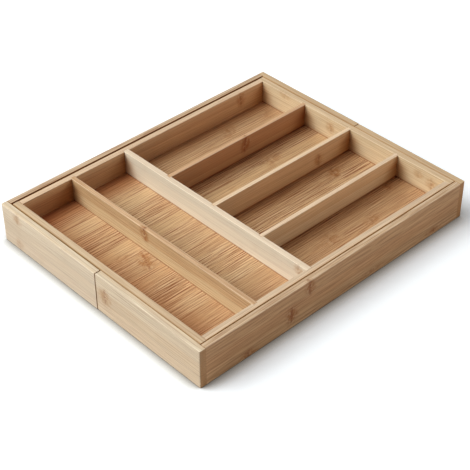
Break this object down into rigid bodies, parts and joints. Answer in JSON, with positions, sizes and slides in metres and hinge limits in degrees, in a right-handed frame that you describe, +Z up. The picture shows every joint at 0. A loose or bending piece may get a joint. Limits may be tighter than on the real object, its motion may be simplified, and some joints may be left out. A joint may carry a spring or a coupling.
{
  "type": "cutlery tray",
  "caption": "Expanding bamboo cutlery tray: a compartmented inner tray between two U-shaped extensions that slide out sideways on their own floors.",
  "frame": {"origin": "middle of the closed tray's footprint, on the surface it stands on", "axes": "+X to the right, the way the right extension slides out; +Y to the back, along the long compartments; +Z up"},
  "size_m": [0.36, 0.446, 0.054],
  "materials": {
    "tray_boards": "satin lacquered bamboo",
    "dividers": "satin lacquered bamboo",
    "extension_boards": "satin lacquered bamboo",
    "floor_panels": "satin lacquered bamboo panel",
    "runners": "plain bamboo",
    "dowels": "plain bamboo"
  },
  "bodies": {
    "inner_tray": {"tray_front_wall": "tray_boards", "tray_back_wall": "tray_boards", "tray_left_wall": "tray_boards", "tray_right_wall": "tray_boards", "tray_floor": "floor_panels", "main_divider": "dividers", "front_divider": "dividers", "rear_divider_1": "dividers", "rear_divider_2": "dividers", "rear_divider_3": "dividers", "tray_dowels": "dowels"},
    "left_extension": {"left_extension_side_board": "extension_boards", "left_extension_front_board": "extension_boards", "left_extension_back_board": "extension_boards", "left_extension_floor": "floor_panels", "left_extension_front_runner": "runners", "left_extension_back_runner": "runners", "left_extension_dowels": "dowels"},
    "right_extension": {"right_extension_side_board": "extension_boards", "right_extension_front_board": "extension_boards", "right_extension_back_board": "extension_boards", "right_extension_floor": "floor_panels", "right_extension_front_runner": "runners", "right_extension_back_runner": "runners", "right_extension_dowels": "dowels"}
  },
  "joints": [
    {"name": "left_extension_slide", "type": "slide", "parent": "inner_tray", "child": "left_extension", "axis": [-1, 0, 0], "range_m": [0, 0.1]},
    {"name": "right_extension_slide", "type": "slide", "parent": "inner_tray", "child": "right_extension", "axis": [1, 0, 0], "range_m": [0, 0.1]}
  ]
}
